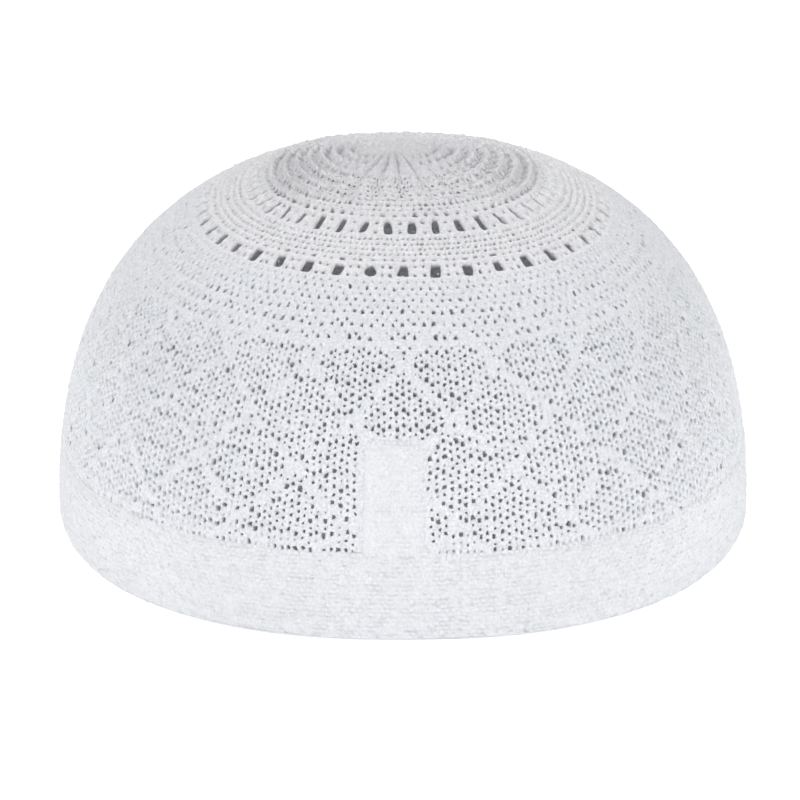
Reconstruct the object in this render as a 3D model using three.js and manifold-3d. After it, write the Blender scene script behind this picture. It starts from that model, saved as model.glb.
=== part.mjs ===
// A knitted skull cap, rim down: a ribbed crown with two rings of eyelets, a lace side wall,
// a folded hem band and a seam tab. Millimetres, +Z up, -Y is the side that carries the tab.
// The origin is on the ground under the middle of the rim.
import * as THREE from "three";
import { mergeVertices } from "three/addons/utils/BufferGeometryUtils.js";
import Module from "manifold-3d";

const wasm = await Module();
wasm.setup();

// The cap as a whole, measured on its outer surface
const halfWidth = 82;
const halfDepth = 94.5;
const capHeight = 85.3;
const widestHeight = 3.5;
const rimPullIn = 2.3;
const planPower = 2.28; // 2 is an ellipse, more is squarer
const shoulderSpreadPower = 2.23;
const shoulderRisePower = 2.44;

// Cloth thicknesses, and the gap left between one piece and the next
const crownThickness = 1.9;
const wallThickness = 1.5;
const bandThickness = 2.4;
const seamGap = 0.3;

// Band, its flat foot and the lap where its two ends meet
const bandHeight = 22.6;
const footRounding = 0.7;
const lapPlace = 13.2; // along the rim, from the middle of the front
const lapRecess = 0.5;
const lapRun = 15;
const lapEdge = 0.4;

// Tab sewn over the seam, standing on the band
const tabWidth = 14.6;
const tabHeight = 24.6;
const tabThickness = 1.0;
const tabPlace = -2.2; // of its middle, along the rim, from the middle of the front
const tabEdgeRound = 0.45;
const tuckDrop = 9; // how far down the band the tab's tucked end shows
const tuckSpread = 3.5;

// Crown, with distances measured down the cloth from the apex
const crownReach = 55.2;
const eyeletCount = 44;
const ribDepth = 0.65;
const pleatDepth = 0.45;
const pleatReach = 9;
const eyeletStraightShare = 0.45; // of its length, with straight sides
const outerRing = { reach: crownReach - 2.8, width: 2.5, length: 4.4, turnShift: 0 };
const innerRing = { reach: outerRing.reach - 15.1, width: 1.8, length: 5.2, turnShift: 0.4 };
const eyeletRings = [outerRing, innerRing];
// The rounds of ribs lie between the plain stretches that hold the eyelets.
const eyeletMargin = 0.7;
const middleRibs = 4;
const topRibs = 9;
const topRibsReach = 6.4; // where the ribs give way to the gathered middle

// How finely the pieces are drawn
const wallSegments = 76;
const rulerSteps = 600;
const tangentStep = 0.01;

const fabricWhite = 0xe9eaee;

const signedPower = (value, power) => Math.sign(value) * Math.abs(value) ** power;

const smoothStep = (value) => {
  const share = THREE.MathUtils.clamp(value, 0, 1);
  return share * share * (3 - 2 * share);
};

// A point of the dome. climb is -1 at the rim, 0 at the widest ring and 1 at the apex,
// turn is the angle round the plan, and inset is how far inside the outer surface it lies.
function domePoint(climb, turn, inset) {
  const below = Math.min(climb, 0);
  const lift = (Math.max(climb, 0) * Math.PI) / 2;
  const shrink = inset + rimPullIn * below * below;
  const spread = Math.cos(lift) ** (2 / shoulderSpreadPower);
  const rise = Math.sin(lift) ** (2 / shoulderRisePower);
  return new THREE.Vector3(
    (halfWidth - shrink) * spread * signedPower(Math.cos(turn), 2 / planPower),
    (halfDepth - shrink) * spread * signedPower(Math.sin(turn), 2 / planPower),
    widestHeight * (1 + below) + (capHeight - inset - widestHeight) * rise,
  );
}

// A ruler along a curve: it gives the curve's parameter at a distance from the curve's start.
function ruler(pointAt, from, to) {
  const marks = [{ at: from, distance: 0 }];
  let last = pointAt(from);
  for (let step = 1; step <= rulerSteps; step++) {
    const at = from + ((to - from) * step) / rulerSteps;
    const next = pointAt(at);
    marks.push({ at, distance: marks[step - 1].distance + next.distanceTo(last) });
    last = next;
  }
  const total = marks[rulerSteps].distance;
  const find = (distance) => {
    const index = marks.findIndex((mark) => mark.distance >= distance);
    const upper = marks[index < 0 ? rulerSteps : Math.max(index, 1)];
    const lower = marks[marks.indexOf(upper) - 1];
    const share = (distance - lower.distance) / (upper.distance - lower.distance);
    return lower.at + share * (upper.at - lower.at);
  };
  return { total, find };
}

// The ruler up the dome runs over a meridian half way between the widest and the deepest one.
const meanRadius = (halfWidth + halfDepth) / 2;
const meanMeridian = (climb) => {
  const side = domePoint(climb, 0, 0);
  return new THREE.Vector2((side.x * meanRadius) / halfWidth, side.z);
};
const upRuler = ruler(meanMeridian, -1, 1);
const frontTurn = -Math.PI / 2;
const roundRuler = ruler((turn) => domePoint(0, turn, 0), frontTurn, frontTurn + 2 * Math.PI);

const climbAt = (distanceFromRim) => upRuler.find(distanceFromRim);
const climbAtReach = (distanceFromApex) => upRuler.find(upRuler.total - distanceFromApex);
const turnAt = (distanceFromFront) => {
  const { euclideanModulo } = THREE.MathUtils;
  return roundRuler.find(euclideanModulo(distanceFromFront, roundRuler.total));
};
const evenPlaces = (count, shift = 0) =>
  Array.from({ length: count }, (_, index) => (roundRuler.total * (index + shift)) / count);

// A closed solid through rings of points. A ring that holds one point is a pole; without poles
// the last ring joins the first.
function loft(rings) {
  const positions = [];
  const starts = rings.map((ring) => {
    const start = positions.length / 3;
    ring.forEach((point) => positions.push(point.x, point.y, point.z));
    return start;
  });
  const indices = [];
  const joinRings = (lower, upper) => {
    const count = Math.max(rings[lower].length, rings[upper].length);
    const vertex = (ring, step) => starts[ring] + (rings[ring].length === 1 ? 0 : step % count);
    for (let step = 0; step < count; step++) {
      const [left, right] = [vertex(lower, step), vertex(lower, step + 1)];
      const [leftAbove, rightAbove] = [vertex(upper, step), vertex(upper, step + 1)];
      if (left !== right) indices.push(left, right, rightAbove);
      if (leftAbove !== rightAbove) indices.push(left, rightAbove, leftAbove);
    }
  };
  for (let ring = 1; ring < rings.length; ring++) joinRings(ring - 1, ring);
  if (rings[0].length > 1) joinRings(rings.length - 1, 0);
  const geometry = new THREE.BufferGeometry();
  geometry.setAttribute("position", new THREE.Float32BufferAttribute(positions, 3));
  geometry.setIndex(indices);
  return geometry;
}

// Rings round the dome for a table of section rows, each with its climb and its inset.
const ringsOf = (rows, turns) =>
  rows.map((row) => turns.map((turn) => domePoint(row.climb, turn, row.inset)));

const between = (from, to, steps) =>
  Array.from({ length: steps + 1 }, (_, step) => from + ((to - from) * step) / steps);

function toManifold(geometry) {
  const bare = geometry.clone();
  bare.deleteAttribute("normal");
  bare.deleteAttribute("uv");
  const merged = mergeVertices(bare, 1e-4);
  return new wasm.Manifold(
    new wasm.Mesh({
      numProp: 3,
      vertProperties: merged.attributes.position.array,
      triVerts: new Uint32Array(merged.index.array),
    }),
  );
}

function fromManifold(solid) {
  const { vertProperties, triVerts } = solid.getMesh();
  const geometry = new THREE.BufferGeometry();
  geometry.setAttribute("position", new THREE.BufferAttribute(vertProperties, 3));
  geometry.setIndex(new THREE.BufferAttribute(triVerts, 1));
  return geometry;
}

function fabricMesh(name, geometry) {
  geometry.computeVertexNormals();
  const material = new THREE.MeshStandardMaterial({ color: fabricWhite, roughness: 0.9, metalness: 0 });
  const mesh = new THREE.Mesh(geometry, material);
  mesh.name = name;
  return mesh;
}

const aboveRing = (ring) => ring.reach - ring.length / 2 - eyeletMargin;
const belowRing = (ring) => ring.reach + ring.length / 2 + eyeletMargin;

// Sections of the crown's face from its edge to the apex: plain at the eyelets, ribs elsewhere
function crownRows() {
  const zones = [
    { from: aboveRing(outerRing), to: belowRing(innerRing), ribs: middleRibs },
    { from: aboveRing(innerRing), to: topRibsReach, ribs: topRibs },
  ];
  const rows = [{ reach: crownReach, inset: 0 }];
  zones.forEach((zone) => {
    const pitch = (zone.from - zone.to) / zone.ribs;
    rows.push({ reach: zone.from, inset: ribDepth });
    for (let rib = 0; rib < zone.ribs; rib++) {
      rows.push({ reach: zone.from - pitch * (rib + 0.5), inset: 0 });
      rows.push({ reach: zone.from - pitch * (rib + 1), inset: ribDepth });
    }
  });
  return rows;
}

// The columns of stitches run half way between the eyelets of each ring, so they lean over
// between one ring and the other.
function crownTurns(reach) {
  const lean = smoothStep((aboveRing(outerRing) - reach) / (aboveRing(outerRing) - belowRing(innerRing)));
  const shift = outerRing.turnShift + (innerRing.turnShift - outerRing.turnShift) * lean;
  return evenPlaces(eyeletCount, shift + 0.5).map(turnAt);
}

// The cloth is gathered at the apex, where every second column dips into a pleat.
const pleatInset = (reach, column) => (column % 2 ? pleatDepth * smoothStep(1 - reach / pleatReach) : 0);

// An eyelet is a long hexagon that narrows to both ends.
function eyeletOutline(ring) {
  const halfAcross = ring.width / 2;
  const halfLong = ring.length / 2;
  const outline = new THREE.Shape();
  outline.moveTo(halfAcross, -halfLong * eyeletStraightShare);
  outline.lineTo(halfAcross, halfLong * eyeletStraightShare);
  outline.lineTo(0, halfLong);
  outline.lineTo(-halfAcross, halfLong * eyeletStraightShare);
  outline.lineTo(-halfAcross, -halfLong * eyeletStraightShare);
  outline.lineTo(0, -halfLong);
  return outline;
}

function eyeletCutters(ring) {
  const depth = 4 * crownThickness;
  const prism = new THREE.ExtrudeGeometry(eyeletOutline(ring), { depth, bevelEnabled: false });
  prism.translate(0, 0, -depth / 2);
  const climb = climbAtReach(ring.reach);
  return evenPlaces(eyeletCount, ring.turnShift).map((place) => {
    const turn = turnAt(place);
    const slope = domePoint(climb + tangentStep, turn, 0).sub(domePoint(climb - tangentStep, turn, 0));
    const sideways = domePoint(climb, turn + tangentStep, 0).sub(domePoint(climb, turn - tangentStep, 0));
    const upward = slope.normalize();
    const outward = new THREE.Vector3().crossVectors(sideways, upward).normalize();
    const across = new THREE.Vector3().crossVectors(upward, outward);
    const placing = new THREE.Matrix4().makeBasis(across, upward, outward);
    placing.setPosition(domePoint(climb, turn, crownThickness / 2));
    return toManifold(prism.clone().applyMatrix4(placing));
  });
}

function crown() {
  const outerRings = crownRows().map((row) =>
    crownTurns(row.reach).map((turn, column) =>
      domePoint(climbAtReach(row.reach), turn, row.inset + pleatInset(row.reach, column)),
    ),
  );
  const topReaches = between(0, aboveRing(innerRing), 4).slice(1);
  const innerReaches = [...topReaches, belowRing(innerRing), aboveRing(outerRing), crownReach];
  const innerRings = innerReaches.map((reach) =>
    crownTurns(reach).map((turn) => domePoint(climbAtReach(reach), turn, crownThickness)),
  );
  const innerPole = [domePoint(1, 0, crownThickness)];
  const outerPole = [domePoint(1, 0, ribDepth + pleatDepth)];
  const blank = loft([innerPole, ...innerRings, ...outerRings, outerPole]);
  const pierced = toManifold(blank).subtract(wasm.Manifold.union(eyeletRings.flatMap(eyeletCutters)));
  return fabricMesh("crown", fromManifold(pierced));
}

const crownEdgeFromRim = upRuler.total - crownReach;

function laceWall() {
  const turns = evenPlaces(wallSegments).map(turnAt);
  const foot = bandHeight + seamGap;
  const head = crownEdgeFromRim - seamGap;
  const outer = between(foot, head, 7).map((up) => ({ climb: climbAt(up), inset: 0 }));
  const inner = between(head, foot, 5).map((up) => ({ climb: climbAt(up), inset: wallThickness }));
  return fabricMesh("lace_wall", loft(ringsOf([...outer, ...inner], turns)));
}

const tabLeft = tabPlace - tabWidth / 2;
const tabRight = tabPlace + tabWidth / 2;
const tabProud = seamGap + tabThickness;

// The band's face steps in under the lap, and rises over the tucked end of the tab.
function bandRelief(up, place) {
  const fromLap = lapPlace - place;
  const recess = fromLap > 0 ? lapRecess * (1 - smoothStep(fromLap / lapRun)) : 0;
  const beside = Math.max(tabLeft - place, place - tabRight, 0);
  const under = bandHeight - up;
  const bulge = tabProud * (1 - smoothStep(under / tuckDrop)) * (1 - smoothStep(beside / tuckSpread));
  return recess * smoothStep(up / footRounding) - bulge;
}

function band() {
  const half = roundRuler.total / 2;
  const signedPlace = (place) => (place > half ? place - roundRuler.total : place);
  const tuckPlaces = [tabLeft - tuckSpread, tabLeft, tabRight, tabRight + tuckSpread];
  const lapPlaces = [lapPlace - lapEdge, lapPlace];
  const allPlaces = [...evenPlaces(wallSegments).map(signedPlace), ...tuckPlaces, ...lapPlaces];
  const places = allPlaces.sort((a, b) => a - b);
  const face = [
    { up: footRounding, inset: 0 },
    { up: widestHeight, inset: 0 },
    ...between(widestHeight, bandHeight, 5).slice(1).map((up) => ({ up, inset: 0 })),
  ];
  const back = [
    { up: bandHeight, inset: bandThickness },
    { up: bandHeight / 2, inset: bandThickness },
    { up: footRounding, inset: bandThickness },
  ];
  const sole = [
    { up: 0, inset: bandThickness - footRounding },
    { up: 0, inset: footRounding },
  ];
  const ring = (row, relief) =>
    places.map((place) => domePoint(climbAt(row.up), turnAt(place), row.inset + relief(row.up, place)));
  const rings = [
    ...face.map((row) => ring(row, bandRelief)),
    ...[...back, ...sole].map((row) => ring(row, () => 0)),
  ];
  return fabricMesh("band", loft(rings));
}

function seamTab() {
  const foot = bandHeight + seamGap;
  const head = bandHeight + tabHeight;
  const across = [
    { place: tabRight, proud: seamGap },
    { place: tabLeft, proud: seamGap },
    { place: tabLeft, proud: tabProud - tabEdgeRound },
    ...between(tabLeft + tabEdgeRound, tabRight - tabEdgeRound, 4).map((place) => ({
      place,
      proud: tabProud,
    })),
    { place: tabRight, proud: tabProud - tabEdgeRound },
  ];
  const section = (up, sink) =>
    across.map((point) => {
      const proud = Math.max(point.proud - sink, seamGap);
      return domePoint(climbAt(up), turnAt(point.place), -proud);
    });
  const levels = between(foot, head - tabEdgeRound, 4);
  const rings = [...levels.map((up) => section(up, 0)), section(head, tabEdgeRound)];
  const middle = (ring) => {
    const sum = ring.reduce((total, point) => total.add(point), new THREE.Vector3());
    return [sum.divideScalar(ring.length)];
  };
  return fabricMesh("seam_tab", loft([middle(rings[0]), ...rings, middle(rings.at(-1))]));
}

const cap = new THREE.Group();
cap.name = "knitted_cap";
cap.add(crown(), laceWall(), band(), seamTab());

export default cap;
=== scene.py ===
# A white knitted lace skull cap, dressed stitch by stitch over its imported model.
# Lengths are millimetres until a mesh is made. A point of the cloth is told by its place round
# the cap, counted in stitches from the middle of the front towards +X, by how far up the cloth
# it lies from the rim, and by how far it stands out of the cap's outer surface.
import math

import bpy
import numpy as np
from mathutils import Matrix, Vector


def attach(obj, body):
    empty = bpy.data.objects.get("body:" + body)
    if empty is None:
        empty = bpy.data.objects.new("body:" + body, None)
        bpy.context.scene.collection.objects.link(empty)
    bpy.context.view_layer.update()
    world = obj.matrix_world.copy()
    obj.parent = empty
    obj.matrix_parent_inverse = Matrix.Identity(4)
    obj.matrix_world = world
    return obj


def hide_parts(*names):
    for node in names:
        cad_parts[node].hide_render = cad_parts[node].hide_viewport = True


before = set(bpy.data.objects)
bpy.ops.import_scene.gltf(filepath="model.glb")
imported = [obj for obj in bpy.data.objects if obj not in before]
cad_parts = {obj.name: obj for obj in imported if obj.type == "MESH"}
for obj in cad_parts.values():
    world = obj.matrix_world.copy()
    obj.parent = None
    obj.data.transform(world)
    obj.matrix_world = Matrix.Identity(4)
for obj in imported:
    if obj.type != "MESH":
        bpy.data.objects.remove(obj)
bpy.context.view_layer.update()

MM = 0.001
rng = np.random.default_rng(41)

# The cap's outer surface, as in the part
HALF_WIDTH = 82.0
HALF_DEPTH = 94.5
CAP_HEIGHT = 85.3
WIDEST_HEIGHT = 3.5
RIM_PULL_IN = 2.3
PLAN_POWER = 2.28
SHOULDER_SPREAD_POWER = 2.23
SHOULDER_RISE_POWER = 2.44

# Stitches: a wale is a column of them, a course a round
WALES = 352
COURSE = 1.714
WALE_WIDTH = 1.61

# The pieces, up the cloth from the rim
BAND_HEIGHT = 22.0
CROWN_REACH = 55.2
EYELETS = 44

# Where the crown is gathered, beside and behind the cap's middle, and how far down that draws it
GATHER_RIGHT = -2.4
GATHER_BACK = 11.0
GATHER_REACH = 45.0


def signed_power(value, power):
    """A power that keeps the value's sign."""
    return np.sign(value) * np.abs(value) ** power


def smooth_step(value):
    """An even climb from 0 to 1, level at both ends and beyond them."""
    share = np.clip(value, 0.0, 1.0)
    return share * share * (3.0 - 2.0 * share)


def dome(climb, turn, out):
    """Points of the dome: climb is -1 at the rim, 0 at the widest ring and 1 at the apex."""
    below = np.minimum(climb, 0.0)
    lift = np.maximum(climb, 0.0) * math.pi / 2
    grow = out - RIM_PULL_IN * below**2
    spread = np.cos(lift) ** (2 / SHOULDER_SPREAD_POWER)
    rise = np.sin(lift) ** (2 / SHOULDER_RISE_POWER)
    x = (HALF_WIDTH + grow) * spread * signed_power(np.cos(turn), 2 / PLAN_POWER)
    y = (HALF_DEPTH + grow) * spread * signed_power(np.sin(turn), 2 / PLAN_POWER)
    z = WIDEST_HEIGHT * (1 + below) + (CAP_HEIGHT + out - WIDEST_HEIGHT) * rise
    return np.stack(np.broadcast_arrays(x, y, z), axis=-1)


def along(points):
    """The distance along a line of points, from its start to each of them."""
    steps = np.linalg.norm(np.diff(points, axis=0), axis=1)
    return np.concatenate([[0.0], np.cumsum(steps)])


# Rulers: up the mean meridian, and round the widest ring from the middle of the front
CLIMBS = np.linspace(-1.0, 1.0, 4001)
TURNS = np.linspace(-math.pi / 2, 1.5 * math.pi, 8001)
MERIDIAN = dome(CLIMBS, 0.0, 0.0) * [(HALF_WIDTH + HALF_DEPTH) / 2 / HALF_WIDTH, 0.0, 1.0]
UP_MARKS = along(MERIDIAN)
ROUND_MARKS = along(dome(0.0, TURNS, 0.0))
CLOTH_HEIGHT = UP_MARKS[-1]
CROWN_EDGE = CLOTH_HEIGHT - CROWN_REACH


def spread_at(up):
    """How wide the ring at this height of the cloth is, as a share of the widest one."""
    return np.interp(up, UP_MARKS, MERIDIAN[:, 0]) / ((HALF_WIDTH + HALF_DEPTH) / 2)


def surface(wale, up, out):
    """Points on the cap, in millimetres: the cloth is gathered a little behind the middle."""
    reach = CLOTH_HEIGHT - up
    turn = wale / WALES * 2 * math.pi
    drawn = smooth_step(1.0 - reach / GATHER_REACH)
    right = reach * np.sin(turn) + GATHER_RIGHT * drawn
    back = GATHER_BACK * drawn - reach * np.cos(turn)
    climb = np.interp(CLOTH_HEIGHT - np.hypot(right, back), UP_MARKS, CLIMBS)
    round_length = (np.arctan2(right, -back) / (2 * math.pi) % 1.0) * ROUND_MARKS[-1]
    return dome(climb, np.interp(round_length, ROUND_MARKS, TURNS), out)


class Cloth:
    """Collects vertices and triangles of one knitted piece."""

    def __init__(self):
        self.wales = []
        self.ups = []
        self.outs = []
        self.count = 0
        self.triangles = []

    def add(self, wale, up, out):
        """Adds vertices and returns their numbers in the shape that came in."""
        wale, up, out = np.broadcast_arrays(wale, up, out)
        numbers = self.count + np.arange(wale.size).reshape(wale.shape)
        self.wales.append(wale.ravel())
        self.ups.append(up.ravel())
        self.outs.append(out.ravel())
        self.count += wale.size
        return numbers

    def face(self, a, b, c):
        """Adds triangles, anticlockwise as seen from the side that they face."""
        self.triangles.append(np.stack([a.ravel(), b.ravel(), c.ravel()], axis=1))

    def strip(self, outer, inner, closed=True):
        """Joins two rows of vertices, one loop or line in each row of the arrays."""
        next_outer = np.roll(outer, -1, axis=-1)
        next_inner = np.roll(inner, -1, axis=-1)
        if not closed:
            outer, inner = outer[..., :-1], inner[..., :-1]
            next_outer, next_inner = next_outer[..., :-1], next_inner[..., :-1]
        self.face(outer, next_outer, next_inner)
        self.face(outer, next_inner, inner)

    def fan(self, loop, centre):
        """Joins each loop to its own centre."""
        centres = np.broadcast_to(centre[:, None], loop.shape)
        self.face(loop, np.roll(loop, -1, axis=-1), centres)

    def piece(self, name, nodes, material):
        """Makes the Blender object, which rides on the cap and stands for its nodes."""
        wales = np.concatenate(self.wales)
        ups = np.concatenate(self.ups)
        points = surface(wales, ups, np.concatenate(self.outs)) * MM
        triangles = np.concatenate(self.triangles)
        used, triangles = np.unique(triangles, return_inverse=True)
        triangles = triangles.reshape(-1, 3)
        mesh = bpy.data.meshes.new(name)
        mesh.vertices.add(len(used))
        mesh.vertices.foreach_set("co", points[used].astype(np.float32).ravel())
        mesh.loops.add(triangles.size)
        mesh.loops.foreach_set("vertex_index", triangles.astype(np.int32).ravel())
        mesh.polygons.add(len(triangles))
        mesh.polygons.foreach_set("loop_start", np.arange(0, triangles.size, 3, dtype=np.int32))
        mesh.update(calc_edges=True)
        mesh.shade_smooth()
        around = wales[used][triangles]
        across_seam = np.ptp(around, axis=1) > WALES / 2
        around[across_seam] += WALES * (around[across_seam] < WALES / 2)
        stitch_map = mesh.uv_layers.new(name="stitches")
        pairs = np.stack([around, ups[used][triangles] / COURSE], axis=-1)
        stitch_map.data.foreach_set("uv", pairs.astype(np.float32).ravel())
        mesh.materials.append(material)
        obj = bpy.data.objects.new(name, mesh)
        bpy.context.scene.collection.objects.link(obj)
        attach(obj, "root")
        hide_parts(*nodes)
        return obj


def cell_loop(width, height):
    """Offsets round a cell of the half-stitch grid, from its lower left corner, seen from outside."""
    bottom = [(step, 0) for step in range(width)]
    right = [(width, step) for step in range(height)]
    top = [(width - step, height) for step in range(width)]
    left = [(0, height - step) for step in range(height)]
    return np.array(bottom + right + top + left)


class Grid:
    """The half-stitch grid of one piece, which its cells share their edges on."""

    def __init__(self, cloth, wale, up, out, thickness, wraps=True):
        self.cloth = cloth
        self.wale = wale
        self.up = up
        self.columns = wale.shape[1]
        self.wraps = wraps
        self.thickness = thickness
        self.face = cloth.add(wale, up, out)
        self.back = cloth.add(wale, up, -thickness)
        self.out = out

    def cells(self, column, row, width, height, hole, rings, lip, centre_out=0.0):
        """Fills cells whose lower left corners are given in half stitches.

        hole is None for closed cells, or a function that takes the cells' angles and gives
        the hole's radius there. rings lists the shares of the way from hole to edge, with
        how far each stands out beside the straight way between the two.
        """
        loop = cell_loop(width, height)
        columns = column[:, None] + loop[:, 0]
        rows = row[:, None] + loop[:, 1]
        wrapped = columns % self.columns if self.wraps else columns
        face = self.face[rows, wrapped]
        back = self.back[rows, wrapped]
        wale = self.wale[rows, wrapped] + WALES * (columns >= self.columns)
        up = self.up[rows, wrapped]
        out = self.out[rows, wrapped]
        middle_wale = wale.mean(axis=1, keepdims=True)
        middle_up = up.mean(axis=1, keepdims=True)
        stitch = WALE_WIDTH * spread_at(middle_up)
        across = (wale - middle_wale) * stitch
        rise = up - middle_up
        if hole is None:
            rim_across = np.zeros_like(across)
            rim_rise = np.zeros_like(rise)
        else:
            reach = np.hypot(across, rise)
            angle = np.arctan2(rise, across)
            shift_across, shift_rise, radius = hole(angle)
            radius = np.minimum(radius, 0.8 * reach)
            rim_across = radius * np.cos(angle) + shift_across
            rim_rise = radius * np.sin(angle) + shift_rise
        last = face
        for share, lift in rings:
            ring_across = rim_across + share * (across - rim_across)
            ring_rise = rim_rise + share * (rise - rim_rise)
            ring_out = lip + share * (out - lip) + lift
            ring = self.cloth.add(middle_wale + ring_across / stitch, middle_up + ring_rise, ring_out)
            self.cloth.strip(last, ring)
            last = ring
        if hole is None:
            centre = self.cloth.add(middle_wale[:, 0], middle_up[:, 0], centre_out)
            self.cloth.fan(last, centre)
            back_centre = self.cloth.add(middle_wale[:, 0], middle_up[:, 0], -self.thickness)
            self.cloth.fan(back[:, ::-1], back_centre)
        else:
            rim = self.cloth.add(middle_wale + rim_across / stitch, middle_up + rim_rise, lip)
            self.cloth.strip(last, rim)
            self.cloth.strip(rim, back)

    def close_edge(self, row, upward):
        """Closes the cloth between its face and its back along a row."""
        face = self.face[row]
        back = self.back[row]
        if upward:
            self.cloth.strip(back, face, closed=self.wraps)
        else:
            self.cloth.strip(face, back, closed=self.wraps)

    def close_side(self, column, last):
        """Closes the cloth between its face and its back down a column."""
        face = self.face[:, column]
        back = self.back[:, column]
        if last:
            self.cloth.strip(face, back, closed=False)
        else:
            self.cloth.strip(back, face, closed=False)


# The lace wall: hole sites on every wale and course, its foot tucked behind the band
LACE_PARTS = 4
LACE_COURSES = 38
LACE_THICKNESS = 1.9
TOP_COURSE_UP = 84.2
LACE_FOOT = TOP_COURSE_UP - 36.5 * COURSE
TUCK = 0.75
TUCK_OUT = -0.45

# Neighbouring wales stand up and down by turns, and strong courses are taller than weak ones
ZIGZAG = 0.45
STRONG_STRETCH = 0.1

# The diamonds: closed ribs, raised a little, which cross in closed nodes up to the peaks
DIAMOND_WALES = 8
DIAMOND_RISE = 12.0
PEAK_UP = 76.0
RIB_HALF_WIDTH = 0.72
RIB_OUT = 0.1
RIB_SPREAD = 1.3
NODE_RADIUS = 1.05

# The lace is fully open below one height, and closes up towards the crown until the other
OPEN_UP = 62.0
CLOSED_UP = 74.0

# The holes of strong and weak courses: their size, and the share of them that is missing
STRONG_RADIUS = 0.35
WEAK_RADIUS = 0.19
LEAST_RADIUS = 0.14
STRONG_MISSING = 0.04
WEAK_MISSING = 0.4
LOW_WEAK_FILLED = 0.2
UPPER_GROWTH = 0.06
RIB_SIDE = 1.7
RIB_SIDE_GROWTH = 0.2
NODE_SIDE = 3.2
NODE_SIDE_GROWTH = 0.4
HOLE_LIP = -1.55
HOLE_RINGS = [(0.24, 1.12)]
DIMPLE_RINGS = [(0.3, 0.45)]
DIMPLE_LIP = -0.7
DIMPLE_OUT = -0.9
PLAIN_RINGS = [(0.5, 0.06)]

# How far the yarn stands out on its legs beside the holes, on its bars and where they cross,
# and how unevenly it lies, outward and along the cloth
LEG_OUT = 0.12
BAR_OUT = -0.08
CROSSING_OUT = 0.02
LACE_UNEVENNESS = 0.09
PLACE_UNEVENNESS = 0.08


def zigzag(wale, up):
    """How far the stitches of this wale sit above or below their course."""
    fade = smooth_step((TOP_COURSE_UP - up) / 16.0) * smooth_step((up - LACE_FOOT) / 3.0)
    return ZIGZAG * fade * np.where(np.round(wale) % 2 == 0, 1.0, -1.0)


def wobble(wale, up, phase):
    """A gentle unevenness of the courses and wales, from -1 to 1."""
    round_share = wale / WALES * 2 * math.pi
    slow = np.sin(17 * round_share + 0.11 * up + phase) * np.sin(0.21 * up - 9 * round_share + phase)
    quick = np.sin(61 * round_share - 0.37 * up + 2 * phase) * np.sin(0.53 * up + 1.7 * phase)
    return 0.6 * slow + 0.4 * quick


def rib_distances(wale, up):
    """Millimetres from the nearest rib's middle and from the nearest crossing of two ribs."""
    side = wale / DIAMOND_WALES
    drop = (PEAK_UP - up) / DIAMOND_RISE
    width = DIAMOND_WALES * WALE_WIDTH * spread_at(up)
    slant = width * DIAMOND_RISE / np.hypot(width, DIAMOND_RISE)
    distances = []
    for diagonal in (side + drop, side - drop):
        offset = (diagonal - 1) / 2
        distances.append(np.abs(offset - np.round(offset)) * 2)
    to_rib = np.minimum(*distances) * slant
    to_node = np.hypot(*distances) * slant / math.sqrt(2)
    above = np.maximum(up - PEAK_UP, 0.0)
    return to_rib + above * 4, to_node + above * 0.6


def hole_outline(width, height, power, corner, turn, shift_across, shift_rise):
    """A hole's radius by angle: an ellipse or a soft box, drawn out to a corner or three."""

    def outline(angle):
        local = angle - turn[:, None]
        across = np.abs(np.cos(local)) / width[:, None]
        rise = np.abs(np.sin(local)) / height[:, None]
        radius = (across**power + rise**power) ** (-1 / power)
        radius = radius * (1 + corner[:, None] * np.cos(3 * local + math.pi / 2))
        return shift_across[:, None], shift_rise[:, None], radius

    return outline


def holes(count, width, height, power=2.0, jitter=1.0, lift=0.0):
    """Outlines for this many holes, no two quite alike: a power of 2 is round, more is squarer."""
    size = np.exp(np.clip(rng.normal(0, 0.26 * jitter, count), -0.6, 0.4))
    stretch = np.exp(rng.normal(0, 0.26 * jitter, count))
    return hole_outline(
        width * size * stretch,
        height * size / stretch,
        power,
        rng.uniform(-0.42, 0.42, count) * jitter,
        rng.normal(0, 0.6 * jitter, count),
        rng.normal(0, 0.14 * jitter, count),
        rng.normal(0, 0.14 * jitter, count) + lift,
    )


def from_tab(wale, up):
    """Millimetres outside the seam tab's outline, less than nothing under the tab."""
    place = (wale + WALES / 2) % WALES - WALES / 2
    beside = np.abs(place * WALE_WIDTH - TAB_PLACE) - TAB_WIDTH / 2
    return np.maximum(beside, up - TAB_TOP)


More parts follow.
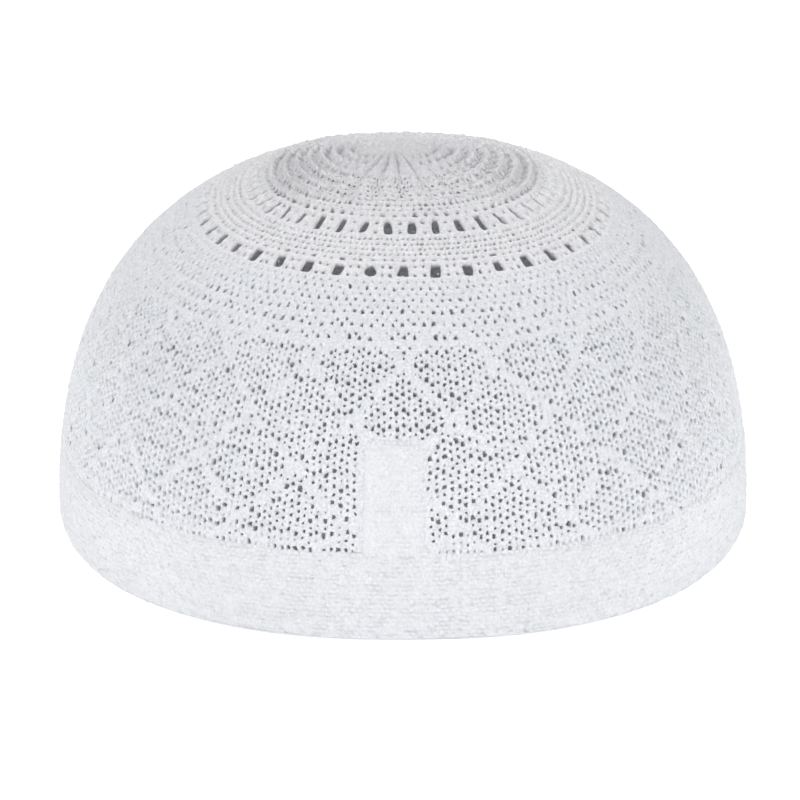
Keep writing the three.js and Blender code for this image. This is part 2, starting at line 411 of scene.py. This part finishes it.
def lace_shape():
    """Wale, height and stand-out of the lace's grid points, which all its parts share."""
    half_rows = np.arange(2 * LACE_COURSES + 1)
    half_columns = np.arange(2 * WALES)
    wale = np.broadcast_to(half_columns / 2 - 0.5, (len(half_rows), len(half_columns)))
    up = LACE_FOOT + half_rows[:, None] * COURSE / 2 + np.zeros(len(half_columns))
    on_wale = half_columns % 2 == 1
    inside = ((half_rows > 0) & (half_rows < half_rows[-1]))[:, None]
    stretch = STRONG_STRETCH * np.cos(half_rows * math.pi / 2)[:, None]
    shift = np.where(on_wale, zigzag(wale, up), 0.0) - stretch
    out = np.where(on_wale, BAR_OUT, CROSSING_OUT) + np.zeros(up.shape)
    out[half_rows % 2 == 1] = LEG_OUT
    out = out * (0.3 + 0.7 * smooth_step((80.0 - up) / 20.0))
    to_rib, _ = rib_distances(wale, up)
    out = out + RIB_OUT * np.exp(-((to_rib / RIB_SPREAD) ** 2)) + rng.normal(0, LACE_UNEVENNESS, up.shape)
    out = out * inside + TUCK_OUT * smooth_step(-from_tab(wale, up) / 1.5)
    out[0] = TUCK_OUT
    settled = inside * smooth_step((TOP_COURSE_UP + 2.0 - up) / 8.0)
    drift = settled * 0.3 * wobble(wale, up, 0.4)
    wale = wale + inside * rng.normal(0, PLACE_UNEVENNESS, up.shape) + drift
    drift = settled * 0.4 * wobble(wale, up, 2.1)
    up = up + inside * (shift + rng.normal(0, LACE_UNEVENNESS, up.shape)) + drift
    up[0] -= TUCK
    return wale, up, out


def lace_wall(material):
    """The lace in four parts: pierced cells, dimples where a hole is missing, and plain cells."""
    columns, courses = np.meshgrid(np.arange(WALES), np.arange(LACE_COURSES))
    columns, courses = columns.ravel(), courses.ravel()
    level = LACE_FOOT + (courses + 0.5) * COURSE
    lift = zigzag(columns, level)
    to_rib, to_node = rib_distances(columns, level + lift)
    strong = courses % 2 == 0
    even = columns % 2 == 0
    low_share = smooth_step((CLOSED_UP - level) / (CLOSED_UP - OPEN_UP))
    radius = np.where(even, STRONG_RADIUS + UPPER_GROWTH * (1 - low_share), STRONG_RADIUS * low_share)
    weak = np.where(even, WEAK_RADIUS * low_share, WEAK_RADIUS * (1.35 - 0.35 * low_share))
    radius = np.where(strong, radius, weak)
    shut = radius < LEAST_RADIUS
    beside_rib = RIB_SIDE_GROWTH * np.exp(-(((to_rib - RIB_SIDE) / 0.6) ** 2))
    beside_node = NODE_SIDE_GROWTH * np.exp(-(((to_node - NODE_SIDE) / 0.8) ** 2))
    radius = radius * (1 + strong * np.maximum(beside_rib, beside_node))
    radius = radius * np.where(level > TOP_COURSE_UP - 1, 0.8, 1.0)
    shut |= (to_rib < RIB_HALF_WIDTH) & (rng.random(len(level)) > 0.2) | (to_node < NODE_RADIUS)
    shut |= np.abs(from_tab(columns, level + lift)) < 0.4
    missing = np.where(strong, STRONG_MISSING, WEAK_MISSING - LOW_WEAK_FILLED * low_share)
    missing = missing + 0.25 * (courses < 2) + 0.2 * (courses < 1)
    is_open = ~shut & (rng.random(len(level)) > missing)
    wale, up, out = lace_shape()
    for part in range(LACE_PARTS):
        cloth = Cloth()
        grid = Grid(cloth, wale, up, out, LACE_THICKNESS)
        first = WALES * (2 * part - 1) // (2 * LACE_PARTS)
        mine = ((columns - first) % WALES) < WALES // LACE_PARTS
        pierced = mine & is_open
        dimpled = mine & ~is_open & ~shut
        plain = mine & shut
        outline = holes(pierced.sum(), radius[pierced], radius[pierced], lift=0.75 * lift[pierced])
        for chosen, hole, rings, lip, middle in [
            (pierced, outline, HOLE_RINGS, HOLE_LIP, 0.0),
            (dimpled, None, DIMPLE_RINGS, DIMPLE_LIP, DIMPLE_OUT),
            (plain, None, PLAIN_RINGS, 0.0, 0.0),
        ]:
            grid.cells(2 * columns[chosen], 2 * courses[chosen], 2, 2, hole, rings, lip, middle)
        cloth.piece(f"lace_knit_{part + 1}", ["lace_wall"], material)


# The crown: rounds of knitting from the lace up, with two rings of eyelets, gathered at the top
CROWN_THICKNESS = 1.6
OUTER_EYELETS = {"from": CROWN_EDGE, "to": 92.0, "width": 2.5, "height": 3.5}
INNER_EYELETS = {"from": 100.8, "to": 106.9, "width": 1.8, "height": 4.9}
EYELET_RINGS = [(0.2, 0.75)]
EYELET_LIP = -1.0
INNER_LEAN = 3.2

# Its rounds of small holes from the outer eyelets up: how many wales each hole has to itself,
# and half its width and height
OVER_OUTER = [(4, 0.55, 0.34), (2, 0.27, 0.26), (2, 0.27, 0.26)]
BETWEEN_RINGS = [(2, 0.3, 0.28), (1, 0.18, 0.22), (2, 0.3, 0.28), (1, 0.18, 0.22), (2, 0.3, 0.28)]
OVER_INNER = [(4, 0.46, 0.5)]
LOW_TOP = [(3, 0.38, 0.42), (3, 0.36, 0.4), (2, 0.3, 0.38)]
HIGH_TOP = [(4, 0.36, 0.34)]
LAST_TOP = [(4, 0.24, 0.22)]
MIDDLE_ROUNDS = [OVER_OUTER] + 4 * [BETWEEN_RINGS]
TOP_ROUNDS = [OVER_INNER] + 3 * [LOW_TOP] + 3 * [HIGH_TOP] + 2 * [LAST_TOP]
SMALL_RINGS = [(0.3, 0.35)]
SMALL_LIP = -0.6
SMALL_SPREAD = 0.25
PINHOLE_RINGS = [(0.3, 0.7)]
PINHOLE_RADII = (0.18, 0.34)

# The relief of its rounds, and the gathered middle, which is drawn ring by ring without holes
TOP_PITCH = 1.8
GATHER_UP = INNER_EYELETS["to"] + len(TOP_ROUNDS) * TOP_PITCH
GATHER_STEP = 0.4
DOTTED_RIDGE = 0.36
TOP_RIDGE = 2.2
RIDGE_PITCH = 3.6
CROWN_UNEVENNESS = 0.11
PLEATS = 28
PLEAT_DEPTH = 1.9
CREASE_DEPTH = 2.0
CREASE_BEHIND = 3.5
CREASE_HALF_LENGTH = 10.0
MIDDLE_DIP = 0.3


def crown_row_edges():
    """How far up the cloth each round of the crown begins, and where the last one ends."""
    lower = np.linspace(OUTER_EYELETS["from"], OUTER_EYELETS["to"], 3)
    middle = np.linspace(OUTER_EYELETS["to"], INNER_EYELETS["from"], len(MIDDLE_ROUNDS) + 1)
    upper = np.linspace(INNER_EYELETS["from"], INNER_EYELETS["to"], 3)
    top = np.linspace(INNER_EYELETS["to"], GATHER_UP, len(TOP_ROUNDS) + 1)
    return np.concatenate([lower, middle[1:], upper[1:], top[1:]])


def lean(up):
    """How many wales the columns have leaned over at this height."""
    share = (up - OUTER_EYELETS["to"]) / (INNER_EYELETS["from"] - OUTER_EYELETS["to"])
    return INNER_LEAN * smooth_step(share)


def gathering(wale, up):
    """The pleats that fan out of the middle, deepest at the front right, and the crease behind."""
    reach = CLOTH_HEIGHT - up
    turn = (wale / WALES - 0.25) * 2 * math.pi
    grown = smooth_step((34.0 - reach) / 12.0) * smooth_step(reach / 14.0)
    towards = 0.45 + 0.45 * np.cos(turn + 1.2)
    wave = 0.5 + 0.5 * np.cos(PLEATS * turn + 1.5 * np.sin(2 * turn) + 0.1 * reach)
    dip = -MIDDLE_DIP * (1 - smooth_step(reach / 7.0))
    across, behind = reach * np.cos(turn), reach * np.sin(turn)
    off_crease = (behind - CREASE_BEHIND - 0.1 * np.abs(across)) / 1.5
    crease = -CREASE_DEPTH * np.exp(-(off_crease**2) - (across / CREASE_HALF_LENGTH) ** 4)
    return PLEAT_DEPTH * grown * (0.2 + 0.8 * towards) * (wave - 1) + dip + crease


def rounds(wale, up):
    """The rounded rounds of the gathered middle, clearest at the sides and lost at the apex."""
    turn = (wale / WALES - 0.25) * 2 * math.pi
    clear = 0.2 + 0.8 * np.cos(turn) ** 2
    fade = smooth_step((CLOTH_HEIGHT - up - 3.0) / 9.0) * smooth_step((up - INNER_EYELETS["to"]) / 2.0)
    return TOP_RIDGE * clear * fade * 0.5 * np.cos((up - GATHER_UP) / RIDGE_PITCH * 2 * math.pi)


def dotted_round(grid, row, dots, start):
    """A round of small holes: dots lists each one's wales, half width and half height in turn."""
    widths = [width for width, _, _ in dots]
    group = sum(widths)
    for place, (width, across, rise) in zip(np.cumsum(widths) - widths, dots):
        columns = (np.arange(0, WALES, group) + start + place) % WALES
        size = rng.uniform(1 - SMALL_SPREAD, 1 + SMALL_SPREAD, len(columns))
        outline = holes(len(columns), across * size, rise * size, jitter=0.8)
        rows = np.full(len(columns), 2 * row)
        grid.cells(columns, rows, width, 2, outline, SMALL_RINGS, SMALL_LIP)


def eyelet_round(grid, row, zone, between):
    """A round of 44 tall eyelets, with close stitches and pinholes between them."""
    centres = np.arange(0, WALES, WALES // EYELETS)
    full = np.ones(EYELETS)
    outline = holes(EYELETS, full * zone["width"] / 2, full * zone["height"] / 2, power=4.0, jitter=0.35)
    rows = np.full(EYELETS, 2 * row)
    grid.cells((centres - 2) % WALES, rows, 4, 4, outline, EYELET_RINGS, EYELET_LIP)
    for place in range(2, 6, between):
        for row_step in (0, 2):
            radius = rng.uniform(*PINHOLE_RADII, EYELETS)
            outline = holes(EYELETS, radius, radius)
            columns = (centres + place) % WALES
            grid.cells(columns, rows + row_step, between, 2, outline, PINHOLE_RINGS, EYELET_LIP)


def crown_ridges(half_ups):
    """How far each half row stands out: ridges between the rounds of holes."""
    on_edge = np.arange(len(half_ups)) % 2 == 0
    ridge = DOTTED_RIDGE * np.where(on_edge, 0.5, -0.5)
    ridge[0] = 0.0
    return ridge


def crown(material):
    """The crown from the lace's edge up: eyelets, small holes, eyelets, small holes, gathers."""
    cloth = Cloth()
    edges = crown_row_edges()
    half_ups = np.sort(np.concatenate([edges, (edges[1:] + edges[:-1]) / 2]))
    up = half_ups[:, None] + np.zeros(WALES)
    wale = np.arange(WALES) + lean(up)
    above_edge = (np.arange(len(half_ups)) > 0)[:, None]
    settled = above_edge * smooth_step((half_ups[-1] - up) / 6.0)
    relief = gathering(wale, up) + rounds(wale, up) + rng.normal(0, CROWN_UNEVENNESS, up.shape)
    out = crown_ridges(half_ups)[:, None] + above_edge * relief
    wale = wale + settled * rng.normal(0, PLACE_UNEVENNESS, up.shape)
    up = up + settled * rng.normal(0, PLACE_UNEVENNESS, up.shape)
    grid = Grid(cloth, wale, up, out, CROWN_THICKNESS)
    eyelet_round(grid, 0, OUTER_EYELETS, 2)
    for rank, dots in enumerate(MIDDLE_ROUNDS):
        dotted_round(grid, 2 + rank, dots, 5 * rank if rank else -2)
    inner_row = 2 + len(MIDDLE_ROUNDS)
    eyelet_round(grid, inner_row, INNER_EYELETS, 4)
    for rank, dots in enumerate(TOP_ROUNDS):
        dotted_round(grid, inner_row + 2 + rank, dots, 3 * rank)
    gathers(cloth, grid)
    cloth.piece("crown_knit", ["crown"], material)


def gathers(cloth, grid):
    """The pleated middle of the crown, ring by ring up to the apex."""
    wale = grid.wale[-1]
    last_face = grid.face[-1]
    last_back = grid.back[-1]
    for ring_up in np.arange(GATHER_UP, CLOTH_HEIGHT - 0.2, GATHER_STEP)[1:]:
        face = cloth.add(wale, ring_up, rounds(wale, ring_up) + gathering(wale, ring_up))
        sunk = np.minimum(gathering(wale, ring_up), 0.0)
        back = cloth.add(wale, ring_up, -CROWN_THICKNESS + sunk * 0.8)
        cloth.strip(last_face, face)
        cloth.strip(back, last_back)
        last_face, last_back = face, back
    top = cloth.add(np.zeros(1), CLOTH_HEIGHT, gathering(0.0, CLOTH_HEIGHT))
    under = cloth.add(np.zeros(1), CLOTH_HEIGHT, -CROWN_THICKNESS - 0.6)
    cloth.fan(last_face[None], top)
    cloth.fan(last_back[None, ::-1], under)


# The band: a folded hem in a plain close knit, lapped where its ends meet
BAND_ROWS = 20
BAND_THICKNESS = 2.4
FOOT_ROUNDING = 0.7
TOP_ROW_SINK = 0.4
NEXT_ROW_SINK = 0.12
TOP_ROW_WAVE = 0.5
LAP_PLACE = 13.2 / WALE_WIDTH
LAP_RECESS = 0.5
LAP_RUN = 15.0

# Its stitches bulge, more or less, and a few of them are sunk
STITCH_BULGE = 0.26
BULGE_RANGE = (0.3, 1.5)
BULGE_RING = 0.9
SPECK_SHARE = 0.02
SPECK_OUT = -0.35
BAND_UNEVENNESS = 0.07
SIDEWAYS_UNEVENNESS = 0.06
UPWARD_UNEVENNESS = 0.14

# The tab that covers the seam, its foot sunk into the band, which stands out a little over it
TAB_WIDTH = 14.6
TAB_PLACE = -2.2
TAB_FOOT = 14.5
TAB_TOP = 47.2
TAB_PROUD = 0.45
FOLD_WIDTH = 2.2
TUCK_DROP = 9.0
TUCK_SPREAD = 3.5
TAB_CLOTH = 0.4
TAB_SINK = 1.0
TAB_SINK_RUN = 8.0
TAB_UNEVENNESS = 0.06
TAB_ROWS = 29
TAB_HALF_STITCHES = 18


def band_relief(wale, up):
    """How far the band's face stands out: less under the lap, more over the tab's tucked end."""
    place = (wale + WALES / 2) % WALES - WALES / 2
    from_lap = (LAP_PLACE - place) * WALE_WIDTH
    recess = LAP_RECESS * (1 - smooth_step(from_lap / LAP_RUN)) * smooth_step(from_lap / 0.35)
    beside = np.abs(place * WALE_WIDTH - TAB_PLACE) - TAB_WIDTH / 2
    under = BAND_HEIGHT - up
    bulge = TAB_PROUD * (1 - smooth_step(under / TUCK_DROP)) * (1 - smooth_step(beside / TUCK_SPREAD))
    return bulge - recess * smooth_step(up / FOOT_ROUNDING)


def band(material):
    """The band: rows of bulging stitches, each half a stitch over the last, and a rounded foot."""
    cloth = Cloth()
    row_ups = np.linspace(FOOT_ROUNDING, BAND_HEIGHT, BAND_ROWS + 1)
    half_columns = np.arange(2 * WALES)
    wale = half_columns / 2 + np.zeros((len(row_ups), 1))
    up = row_ups[:, None] + np.zeros(2 * WALES)
    out = band_relief(wale, up) + rng.normal(0, BAND_UNEVENNESS, up.shape)
    out[-1] -= TOP_ROW_SINK
    out[-2] -= NEXT_ROW_SINK
    wale = wale + rng.normal(0, SIDEWAYS_UNEVENNESS, up.shape)
    up[1:] += rng.normal(0, UPWARD_UNEVENNESS, up[1:].shape)
    up[-2:] += TOP_ROW_WAVE * wobble(wale[-2:], BAND_HEIGHT, 0.9)
    grid = Grid(cloth, wale, up, out, BAND_THICKNESS)
    for row in range(BAND_ROWS):
        columns = (np.arange(0, 2 * WALES, 2) + row % 2) % (2 * WALES)
        rows = np.full(len(columns), row)
        middle = band_relief(columns / 2 + 0.5, row_ups[row] + 0.5)
        bulge = STITCH_BULGE * rng.uniform(*BULGE_RANGE, len(columns))
        bulge[rng.random(len(columns)) < SPECK_SHARE * (row > 2)] = SPECK_OUT
        rings = [(0.5, bulge[:, None] * BULGE_RING)]
        grid.cells(columns, rows, 2, 1, None, rings, middle[:, None], middle + bulge)
    sole = [(0.25, -0.25), (0.0, -0.7), (0.0, -BAND_THICKNESS + 0.7), (0.25, -BAND_THICKNESS + 0.25)]
    last = grid.face[0]
    for sole_up, sole_out in sole:
        ring = cloth.add(wale[0], sole_up, sole_out)
        cloth.strip(ring, last)
        last = ring
    cloth.strip(grid.back[0], last)
    grid.close_edge(-1, upward=True)
    cloth.piece("band_knit", ["band"], material)


def seam_tab(material):
    """The tab: rows of stitches like the band's, folded along one side, with a sunken foot."""
    cloth = Cloth()
    across = np.linspace(-0.5, 0.5, TAB_HALF_STITCHES + 1)
    wale = (TAB_PLACE + TAB_WIDTH * across) / WALE_WIDTH + np.zeros((TAB_ROWS + 1, 1))
    up = np.linspace(TAB_FOOT, TAB_TOP, TAB_ROWS + 1)[:, None] + np.zeros(TAB_HALF_STITCHES + 1)
    edge = np.minimum(TAB_WIDTH * (0.5 - np.abs(across)), TAB_TOP - up)
    rounded = TAB_PROUD - (TAB_PROUD + 0.3) * (1 - smooth_step(edge / 2.2 + 0.1))
    folded = 1 - smooth_step((TAB_WIDTH * (across + 0.5) - FOLD_WIDTH) / 0.5)
    sunk = 1 - smooth_step((up - TAB_FOOT) / TAB_SINK_RUN)
    out = rounded + 0.2 * folded * smooth_step(edge) - TAB_SINK * sunk
    out = out + rng.normal(0, TAB_UNEVENNESS, up.shape)
    grid = Grid(cloth, wale, up, out, TAB_CLOTH, wraps=False)
    for row in range(TAB_ROWS):
        columns = np.arange(row % 2, TAB_HALF_STITCHES - 1, 2)
        middle = out[row, columns + 1]
        bulge = STITCH_BULGE * rng.uniform(*BULGE_RANGE, len(columns)) * (1 - 0.8 * folded[columns + 1])
        rings = [(0.5, bulge[:, None] * BULGE_RING)]
        grid.cells(columns, np.full(len(columns), row), 2, 1, None, rings, middle[:, None], middle + bulge)
        if row % 2:
            for column in (0, TAB_HALF_STITCHES - 1):
                grid.cells(np.array([column]), np.array([row]), 1, 1, None, [], 0.0, out[row, column])
    grid.close_edge(0, upward=False)
    grid.close_edge(-1, upward=True)
    grid.close_side(0, last=False)
    grid.close_side(-1, last=True)
    cloth.piece("tab_knit", ["seam_tab"], material)


# The yarn of each piece: its white, how uneven that is, and how deep its stitches and its fuzz are. It is
# one yarn: the crown's white is lighter and the band's a little darker than the lace's, painted light and
# painted shade that even out how brightly the lamps light each piece.
LACE_YARN = ("lace_yarn", (0.76, 0.774, 0.806), 0.35, 0.15, 0.25)
CROWN_YARN = ("crown_yarn", (0.80, 0.80, 0.825), 0.35, 0.15, 0.25)
BAND_YARN = ("band_yarn", (0.755, 0.767, 0.795), 0.18, 0.1, 0.12)


def add_node(material, kind, **inputs):
    """Adds a node and sets its inputs, whose names here have an underscore for each blank."""
    node = material.node_tree.nodes.new(kind)
    for name, value in inputs.items():
        node.inputs[name.replace("_", " ")].default_value = value
    return node


def add_math(material, operation, number, source):
    """Adds a calculation on a socket's value and a number, and gives its node."""
    node = add_node(material, "ShaderNodeMath")
    node.operation = operation
    node.inputs[1].default_value = number
    material.node_tree.links.new(source, node.inputs[0])
    return node


def knit_material(name, colour, unevenness, stitch_depth, fuzz_depth):
    """White yarn: chevrons of stitches and fuzz in bump, a soft sheen, and a slightly uneven white."""
    material = bpy.data.materials.new(name)
    material.use_nodes = True
    link = material.node_tree.links.new
    shader = material.node_tree.nodes["Principled BSDF"]
    shader.inputs["Roughness"].default_value = 0.55
    shader.inputs["Sheen Weight"].default_value = 0.05
    shader.inputs["Sheen Roughness"].default_value = 0.5
    shader.inputs["Specular IOR Level"].default_value = 0.5
    place = add_node(material, "ShaderNodeTexCoord").outputs["Object"]
    cloudy = add_node(material, "ShaderNodeTexNoise", Scale=1800.0, Detail=2.0)
    link(place, cloudy.inputs["Vector"])
    tint = add_node(material, "ShaderNodeMix")
    tint.data_type = "RGBA"
    tint.inputs["A"].default_value = (*[(0.97 - unevenness) * channel for channel in colour], 1.0)
    tint.inputs["B"].default_value = (*[(0.97 + unevenness) * channel for channel in colour], 1.0)
    link(cloudy.outputs["Fac"], tint.inputs["Factor"])
    link(tint.outputs["Result"], shader.inputs["Base Color"])
    stitches = add_node(material, "ShaderNodeUVMap")
    stitches.uv_map = "stitches"
    split = add_node(material, "ShaderNodeSeparateXYZ")
    link(stitches.outputs["UV"], split.inputs["Vector"])
    leg = add_math(material, "PINGPONG", 0.5, split.outputs["X"])
    slant = add_math(material, "MULTIPLY_ADD", 1.5, leg.outputs["Value"])
    link(split.outputs["Y"], slant.inputs[2])
    across = add_node(material, "ShaderNodeCombineXYZ")
    link(slant.outputs["Value"], across.inputs["X"])
    link(split.outputs["X"], across.inputs["Y"])
    wave = {"Scale": 0.65, "Distortion": 1.2, "Detail": 2.0, "Detail_Scale": 2.0}
    chevrons = add_node(material, "ShaderNodeTexWave", **wave)
    chevrons.bands_direction = "X"
    link(across.outputs["Vector"], chevrons.inputs["Vector"])
    fuzz = add_node(material, "ShaderNodeTexNoise", Scale=1700.0, Detail=5.0)
    link(place, fuzz.inputs["Vector"])
    stitch_bump = add_node(material, "ShaderNodeBump", Strength=0.6, Distance=stitch_depth * MM)
    link(chevrons.outputs["Color"], stitch_bump.inputs["Height"])
    fuzz_bump = add_node(material, "ShaderNodeBump", Strength=0.8, Distance=fuzz_depth * MM)
    link(fuzz.outputs["Fac"], fuzz_bump.inputs["Height"])
    link(stitch_bump.outputs["Normal"], fuzz_bump.inputs["Normal"])
    link(fuzz_bump.outputs["Normal"], shader.inputs["Normal"])
    return material


# The photograph's camera: the middle of the cap is a little right of and above the frame's middle
CAMERA_DISTANCE = 1143.9
CAMERA_ELEVATION = math.radians(17.95)
FOCAL_PIXELS = 4797.0
FRAME_PIXELS = 800.0
SENSOR_WIDTH = 36.0
AIM_DOWN = 16.55
AIM_LEFT = 0.715


def place_camera():
    """The camera, in millimetres from the cap's middle, looking down at it from the front."""
    data = bpy.data.cameras.new("camera")
    data.sensor_width = SENSOR_WIDTH
    data.lens = FOCAL_PIXELS / FRAME_PIXELS * SENSOR_WIDTH
    data.clip_start = 0.05
    camera = bpy.data.objects.new("camera", data)
    bpy.context.scene.collection.objects.link(camera)
    back = Vector((0, -math.cos(CAMERA_ELEVATION), math.sin(CAMERA_ELEVATION)))
    up = Vector((0, math.sin(CAMERA_ELEVATION), math.cos(CAMERA_ELEVATION)))
    middle = Vector((0, 0, CAP_HEIGHT / 2))
    stand = middle + CAMERA_DISTANCE * back
    aim = middle - AIM_DOWN * up - AIM_LEFT * Vector((1, 0, 0))
    camera.location = stand * MM
    camera.rotation_euler = (aim - stand).to_track_quat("-Z", "Y").to_euler()
    bpy.context.scene.camera = camera


# The studio: a white sky, a pale floor that glows softly round the cap, and three large lights,
# each with its place in metres, its size and its watts
SKY = 0.35
FLOOR_GLOW = 0.43
LIGHTS = [
    ("left_soft", (-1.55, -1.0, 1.5), 0.9, 28.0),
    ("right_soft", (1.65, -0.9, 1.2), 1.2, 24.0),
    ("back_soft", (-0.1, 1.6, 1.7), 1.2, 18.0),
]

# A faint light under the cap stands for what shines through the thin knit
UNDER_CAP = ("under_cap", (0.0, 0.0, 0.003), 0.1, 0.016)
LIGHTS_AIM = Vector((0, 0, 0.04))


def area_light(name, place, size, watts):
    """A round soft light that looks at the middle of the cap."""
    data = bpy.data.lights.new(name, "AREA")
    data.shape = "DISK"
    data.size = size
    data.energy = watts
    light = bpy.data.objects.new(name, data)
    bpy.context.scene.collection.objects.link(light)
    light.location = place
    light.rotation_euler = (LIGHTS_AIM - Vector(place)).to_track_quat("-Z", "Y").to_euler()
    return light


def glowing_paper():
    """Pale paper that glows evenly outside the cap's own plan and not under it."""
    paper = bpy.data.materials.new("paper")
    paper.use_nodes = True
    link = paper.node_tree.links.new
    shader = paper.node_tree.nodes["Principled BSDF"]
    shader.inputs["Base Color"].default_value = (0.85, 0.85, 0.85, 1.0)
    shader.inputs["Roughness"].default_value = 0.95
    shader.inputs["Emission Color"].default_value = (1.0, 1.0, 1.0, 1.0)
    place = add_node(paper, "ShaderNodeTexCoord")
    plan = add_node(paper, "ShaderNodeSeparateXYZ")
    link(place.outputs["Object"], plan.inputs["Vector"])
    total = add_node(paper, "ShaderNodeMath")
    total.operation = "ADD"
    for side, (axis, half_size) in enumerate([("X", HALF_WIDTH), ("Y", HALF_DEPTH)]):
        rim_share = 1 / ((half_size - RIM_PULL_IN) * MM)
        share = add_math(paper, "MULTIPLY", rim_share, plan.outputs[axis])
        length = add_math(paper, "ABSOLUTE", 0.0, share.outputs["Value"])
        power = add_math(paper, "POWER", PLAN_POWER, length.outputs["Value"])
        link(power.outputs["Value"], total.inputs[side])
    glow = add_node(paper, "ShaderNodeMapRange", From_Min=0.97, From_Max=1.0, To_Max=FLOOR_GLOW)
    link(total.outputs["Value"], glow.inputs["Value"])
    link(glow.outputs["Result"], shader.inputs["Emission Strength"])
    return paper


def studio():
    """The floor, the sky and the lights."""
    bpy.context.scene.view_settings.view_transform = "Standard"
    bpy.ops.mesh.primitive_plane_add(size=12.0)
    floor = bpy.context.object
    floor.name = "floor"
    floor.data.materials.append(glowing_paper())
    world = bpy.data.worlds.new("studio")
    world.use_nodes = True
    sky = world.node_tree.nodes["Background"]
    sky.inputs["Color"].default_value = (1.0, 1.0, 1.0, 1.0)
    sky.inputs["Strength"].default_value = SKY
    bpy.context.scene.world = world
    for light in LIGHTS:
        area_light(*light)
    area_light(*UNDER_CAP).visible_camera = False


place_camera()
studio()
lace_wall(knit_material(*LACE_YARN))
crown(knit_material(*CROWN_YARN))
band_yarn = knit_material(*BAND_YARN)
band(band_yarn)
seam_tab(band_yarn)
